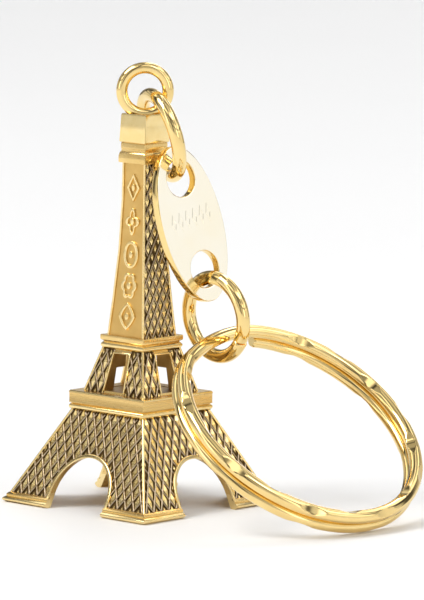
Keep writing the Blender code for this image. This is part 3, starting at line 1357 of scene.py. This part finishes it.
# Brightness round the horizon, as (share of a full turn from due -X, brightness).
AZIMUTH_BANDS: tuple[Point2, ...] = (
    *((0.00, 0.75), (0.06, 0.70), (0.075, 0.10), (0.09, 0.10), (0.11, 0.75), (0.17, 0.70)),
    *((0.185, 2.6), (0.205, 2.6), (0.22, 0.70), (0.31, 0.75), (0.325, 0.12), (0.34, 0.12)),
    *((0.36, 0.70), (0.44, 0.75), (0.455, 2.4), (0.475, 2.4), (0.49, 0.80), (0.57, 0.96)),
    *((0.63, 1.00), (0.67, 0.80), (0.68, 0.12), (0.70, 0.12), (0.72, 0.70), (0.80, 0.75)),
    *((0.82, 2.6), (0.84, 2.6), (0.86, 0.70), (0.93, 0.15), (0.95, 0.15), (0.97, 0.75), (1.00, 0.75)),
)
# Brightness from straight down to straight up.
HEIGHT_BANDS: tuple[Point2, ...] = (
    *((0.00, 0.8), (0.49, 0.9), (0.51, 1.0), (0.635, 1.0), (0.650, 0.15), (0.665, 0.15), (0.680, 1.0)),
    *((0.71, 1.0), (0.76, 0.35), (0.82, 0.50), (0.85, 2.2), (0.90, 2.2), (0.93, 0.6), (1.00, 0.7)),
)


@dataclass
class Studio:
    """A pale floor, soft light and the camera."""

    camera_heading: float = 43.0
    camera_distance: float = 560.0
    camera_height: float = 94.0
    aim: Point3 = (5.105, 4.760, 20.6)
    lean: float = 0.87
    lens: float = 338.9
    film: float = 36.0
    floor_radius: float = 3.0
    floor_greys: tuple[Point2, Point2] = ((0.0, 0.90), (1.0, 0.93))
    backdrop: Colour = (0.94, 0.94, 0.94)
    lamp_aim: Point3 = (4.0, 2.0, 20.0)

    def camera(self, home: Matrix) -> None:
        """Places the camera and makes it the scene's.

        Args:
            home: The tower axis's place in the frame.
        """
        heading, reach = math.radians(self.camera_heading), self.camera_distance
        place = Vector((reach * math.sin(heading), -reach * math.cos(heading), self.camera_height))
        forward = (Vector(self.aim) - place).normalized()
        right = forward.cross(Vector((0, 0, 1))).normalized()
        up = right.cross(forward)
        lean = math.radians(self.lean)
        turned_right = math.cos(lean) * right + math.sin(lean) * up
        turned_up = math.cos(lean) * up - math.sin(lean) * right
        data = bpy.data.cameras.new("camera")
        data.sensor_fit = "VERTICAL"
        data.sensor_height = self.film
        data.lens = self.lens
        data.clip_start = 0.01
        camera = link(bpy.data.objects.new("camera", data))
        turn = Matrix((turned_right, turned_up, -forward)).transposed().to_4x4()
        camera.matrix_world = home @ Matrix.Translation(place * MM) @ turn
        bpy.context.scene.camera = camera

    def floor(self) -> None:
        """A wide pale disc at the height that the tower stands on."""
        shape = bmesh.new()
        bmesh.ops.create_circle(shape, cap_ends=True, segments=96, radius=self.floor_radius)
        mesh = bpy.data.meshes.new("floor")
        shape.to_mesh(mesh)
        shape.free()
        floor = link(bpy.data.objects.new("floor", mesh))
        material = bpy.data.materials.new("pale_floor")
        material.use_nodes = True
        tree = material.node_tree
        place = add_node(tree, "ShaderNodeTexCoord").outputs["Object"]
        noise = add_node(tree, "ShaderNodeTexNoise", Scale=8.0, Vector=place).outputs["Fac"]
        tone = grey_ramp(tree, noise, self.floor_greys)
        wired(tree, tree.nodes["Principled BSDF"], Roughness=0.6, Base_Color=tone)
        dressed(floor, material)

    def world(self) -> None:
        """A bright studio with soft bands of light and shade, before a plain pale backdrop."""
        world = bpy.data.worlds.new("studio")
        bpy.context.scene.world = world
        world.use_nodes = True
        tree = world.node_tree
        way = add_node(tree, "ShaderNodeTexCoord").outputs["Generated"]
        parts = add_node(tree, "ShaderNodeSeparateXYZ", Vector=way).outputs
        heading = add_node(tree, "ShaderNodeMath", {"operation": "ARCTAN2"}, n0=parts["Y"], n1=parts["X"])
        share = add_node(
            tree, "ShaderNodeMapRange", Value=heading.outputs[0], From_Min=-math.pi, From_Max=math.pi
        )
        lifted = add_node(tree, "ShaderNodeMapRange", Value=parts["Z"], From_Min=-1.0)
        both = add_node(
            tree,
            "ShaderNodeMix",
            {"data_type": "RGBA", "blend_type": "MULTIPLY"},
            Factor=1.0,
            A=grey_ramp(tree, share.outputs["Result"], AZIMUTH_BANDS),
            B=grey_ramp(tree, lifted.outputs["Result"], HEIGHT_BANDS),
        )
        shown = add_node(
            tree,
            "ShaderNodeMix",
            {"data_type": "RGBA"},
            Factor=add_node(tree, "ShaderNodeLightPath").outputs["Is Camera Ray"],
            A=both.outputs["Result"],
            B=(*self.backdrop, 1.0),
        )
        wired(tree, tree.nodes["Background"], Color=shown.outputs["Result"], Strength=1.0)

    def lamp(self, name: str, place: Point3, size: float, power: float) -> None:
        """Hangs a soft square lamp that looks at the keychain.

        Args:
            name: The lamp's name.
            place: Its place in mm from the tower's axis.
            size: Its side in mm.
            power: Its power in watts.
        """
        data = bpy.data.lights.new(name, "AREA")
        data.shape = "RECTANGLE"
        data.size = data.size_y = size * MM
        data.energy = power
        lamp = link(bpy.data.objects.new(name, data))
        lamp.location = Vector(place) * MM
        way = Vector(self.lamp_aim) - Vector(place)
        lamp.rotation_euler = way.to_track_quat("-Z", "Y").to_euler()

    def build(self, home: Matrix) -> None:
        """Sets the whole studio up.

        Args:
            home: The tower axis's place in the frame.
        """
        self.camera(home)
        self.floor()
        self.world()
        self.lamp("key", (-250.0, -420.0, 620.0), 360.0, 2.5)
        self.lamp("fill", (620.0, 300.0, 420.0), 420.0, 0.4)
        bpy.context.scene.view_settings.view_transform = "Standard"


# ---------------------------------------------------------------- the whole keychain


def seat(piece: Object, body: Body, slot: Slot, *nodes: str) -> None:
    """Seats a piece in the frame.

    Args:
        piece: The finished piece.
        body: The body that it rides on.
        slot: Its material slot; not used.
        nodes: The solids that it stands for.
    """
    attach(piece, body.value)
    if nodes:
        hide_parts(*nodes)
    LOG.info("%s: %d faces on %s", piece.name, len(piece.data.polygons), body.value)


def main() -> None:
    """Builds the keychain round its frame."""
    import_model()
    low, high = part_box("tower_casting")
    home = Matrix.Translation(((low.x + high.x) / 2, (low.y + high.y) / 2, low.z))

    FINISHES.update({key: metal.build() for key, metal in METALS.items()})

    tower = TowerCasting().build(home)
    seat(tower[0], Body.TOWER, Slot.CAST, "tower_casting")
    for piece in tower[1:]:
        seat(piece, Body.TOWER, Slot.CAST)
    seat(EyeRing().build(home), Body.TOWER, Slot.WIRE, "eye_ring")

    upper_place = LinkPlace((0.80, 1.61, 37.02), 64.4, 15.0)
    lower_place = LinkPlace((6.57, 3.77, 19.13), 84.8, 5.6)
    upper = JumpRing("upper_ring_wire", Body.UPPER_RING, upper_place, 4.20, 95.0)
    lower = JumpRing("lower_ring_wire", Body.LOWER_RING, lower_place, 4.00, -59.0)
    for ring, node in ((upper, "upper_jump_ring"), (lower, "lower_jump_ring")):
        seat(ring.build(home), ring.body, Slot.WIRE, node)

    plate, row = OvalTag().build(home)
    seat(plate, Body.TAG, Slot.TAG, "oval_tag")
    seat(row, Body.TAG, Slot.TAG)
    seat(SplitRing().build(home), Body.KEYRING, Slot.WIRE, "split_ring")

    Studio().build(home)


if __name__ == "__main__":
    main()
